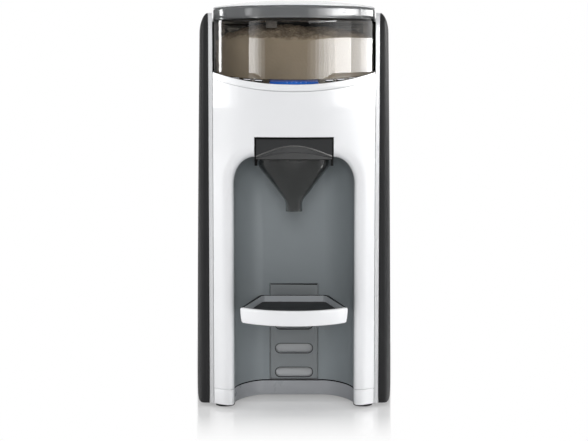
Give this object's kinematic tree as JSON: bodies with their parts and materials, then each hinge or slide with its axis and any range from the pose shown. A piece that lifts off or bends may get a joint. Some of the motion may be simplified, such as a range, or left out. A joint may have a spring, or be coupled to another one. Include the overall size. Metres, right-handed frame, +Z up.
{
  "type": "baby formula maker",
  "caption": "Countertop machine that mixes powdered formula with warm water: clear powder container, display and keys, funnel over a bottle bay with a movable tray, water tank at the rear",
  "frame": {"origin": "On the floor, in the middle of the machine's width and depth, which is also under the axis of the powder container.", "axes": "+Z up, +X to the machine's left-hand side as it faces the user, which is the viewer's right, and +Y to the rear: the front faces -Y."},
  "size_m": [0.17, 0.282, 0.3298],
  "materials": {
    "white_plastic": "gloss",
    "black_gloss": "high gloss",
    "dark_plastic": "satin",
    "grey_plastic": "satin",
    "smoked_plastic": "smoked, translucent",
    "clear_plastic": "clear",
    "display_blue": "gloss",
    "circuit_board": "lacquered",
    "rubber": "matte",
    "steel": "brushed",
    "brass": "machined",
    "nylon": "moulded",
    "hose": "clear silicone"
  },
  "bodies": {
    "casing": {"base": "white_plastic", "foot_front_left": "rubber", "foot_front_right": "rubber", "foot_rear_left": "rubber", "foot_rear_right": "rubber", "front_shell": "white_plastic", "top_bezel": "white_plastic", "control_panel": "black_gloss", "display_window": "display_blue", "display_board": "circuit_board", "container_deck": "white_plastic", "side_frame_left": "white_plastic", "side_frame_right": "white_plastic", "side_panel_left": "dark_plastic", "side_panel_right": "dark_plastic", "bay_liner": "grey_plastic", "slot_panel": "grey_plastic", "drive_bush": "brass", "dosing_motor": "dark_plastic", "motor_plate": "steel", "powder_chute": "white_plastic", "water_nozzle": "grey_plastic", "chassis_wall": "white_plastic", "rear_cover": "white_plastic", "water_heater": "steel", "water_pump": "dark_plastic", "main_board": "circuit_board", "tank_hose": "hose", "pump_hose": "hose", "nozzle_hose": "hose", "port_seal": "rubber", "cord_gland": "rubber", "cover_screw_left": "steel", "cover_screw_right": "steel"},
    "container": {"powder_container": "clear_plastic", "container_floor": "grey_plastic"},
    "stirrer": {"stirrer": "grey_plastic", "dosing_wheel": "dark_plastic"},
    "lid_seat": {"lid_seal": "rubber"},
    "lid": {"lid": "white_plastic", "lid_band": "smoked_plastic"},
    "drive": {"drive_coupling": "steel", "drive_gear": "nylon"},
    "pinion": {"motor_pinion": "brass"},
    "funnel": {"funnel": "smoked_plastic", "funnel_cover": "dark_plastic"},
    "tray": {"tray_body": "grey_plastic", "tray_lip": "white_plastic", "tray_mat": "dark_plastic"},
    "tank": {"water_tank": "clear_plastic", "tank_lid_pin": "steel", "valve_spring": "steel"},
    "tank_lid": {"tank_lid": "white_plastic"},
    "tank_valve": {"tank_valve": "grey_plastic"},
    "key_left_1": {"key_left_1": "black_gloss"},
    "key_left_2": {"key_left_2": "black_gloss"},
    "key_left_3": {"key_left_3": "black_gloss"},
    "key_right_1": {"key_right_1": "black_gloss"},
    "key_right_2": {"key_right_2": "black_gloss"},
    "key_right_3": {"key_right_3": "black_gloss"}
  },
  "joints": [
    {"name": "container_lift", "type": "slide", "parent": "casing", "child": "container", "axis": [0, 0, 1], "range_m": [0, 0.06]},
    {"name": "stirrer_spin", "type": "hinge", "parent": "container", "child": "stirrer", "pos_m": [0, 0, 0.265], "axis": [0, 0, 1], "continuous": true},
    {"name": "lid_lift", "type": "slide", "parent": "container", "child": "lid_seat", "axis": [0, 0, 1], "range_m": [0, 0.045]},
    {"name": "lid_turn", "type": "hinge", "parent": "lid_seat", "child": "lid", "pos_m": [0, 0, 0.315], "axis": [0, 0, 1], "range_deg": [0, 30]},
    {"name": "drive_spin", "type": "hinge", "parent": "casing", "child": "drive", "pos_m": [0, 0, 0.2415], "axis": [0, 0, 1], "continuous": true},
    {"name": "pinion_spin", "type": "hinge", "parent": "casing", "child": "pinion", "pos_m": [-0.0363, 0, 0.2415], "axis": [0, 0, 1], "continuous": true},
    {"name": "funnel_slide", "type": "slide", "parent": "casing", "child": "funnel", "axis": [0, -1, 0], "range_m": [0, 0.07]},
    {"name": "tray_slide", "type": "slide", "parent": "casing", "child": "tray", "axis": [0, -1, 0], "range_m": [0, 0.1]},
    {"name": "tank_lift", "type": "slide", "parent": "casing", "child": "tank", "axis": [0, 0, 1], "range_m": [0, 0.1]},
    {"name": "tank_lid_hinge", "type": "hinge", "parent": "tank", "child": "tank_lid", "pos_m": [0, 0.1361, 0.3143], "axis": [-1, 0, 0], "range_deg": [0, 100]},
    {"name": "tank_valve_slide", "type": "slide", "parent": "tank", "child": "tank_valve", "axis": [0, 0, 1], "range_m": [0, 0.003], "stiffness_N_per_m": 150, "springref_m": -0.004, "deforming": ["valve_spring"]},
    {"name": "key_left_1_press", "type": "slide", "parent": "casing", "child": "key_left_1", "axis": [0, 0, -1], "range_m": [0, 0.0008], "stiffness_N_per_m": 300, "springref_m": -0.001},
    {"name": "key_left_2_press", "type": "slide", "parent": "casing", "child": "key_left_2", "axis": [0, 0, -1], "range_m": [0, 0.0008], "stiffness_N_per_m": 300, "springref_m": -0.001},
    {"name": "key_left_3_press", "type": "slide", "parent": "casing", "child": "key_left_3", "axis": [0, 0, -1], "range_m": [0, 0.0008], "stiffness_N_per_m": 300, "springref_m": -0.001},
    {"name": "key_right_1_press", "type": "slide", "parent": "casing", "child": "key_right_1", "axis": [0, 0, -1], "range_m": [0, 0.0008], "stiffness_N_per_m": 300, "springref_m": -0.001},
    {"name": "key_right_2_press", "type": "slide", "parent": "casing", "child": "key_right_2", "axis": [0, 0, -1], "range_m": [0, 0.0008], "stiffness_N_per_m": 300, "springref_m": -0.001},
    {"name": "key_right_3_press", "type": "slide", "parent": "casing", "child": "key_right_3", "axis": [0, 0, -1], "range_m": [0, 0.0008], "stiffness_N_per_m": 300, "springref_m": -0.001}
  ],
  "couplings": [
    {"joint": "drive_spin", "follows": "stirrer_spin", "ratio": 1},
    {"joint": "pinion_spin", "follows": "stirrer_spin", "ratio": -3}
  ]
}
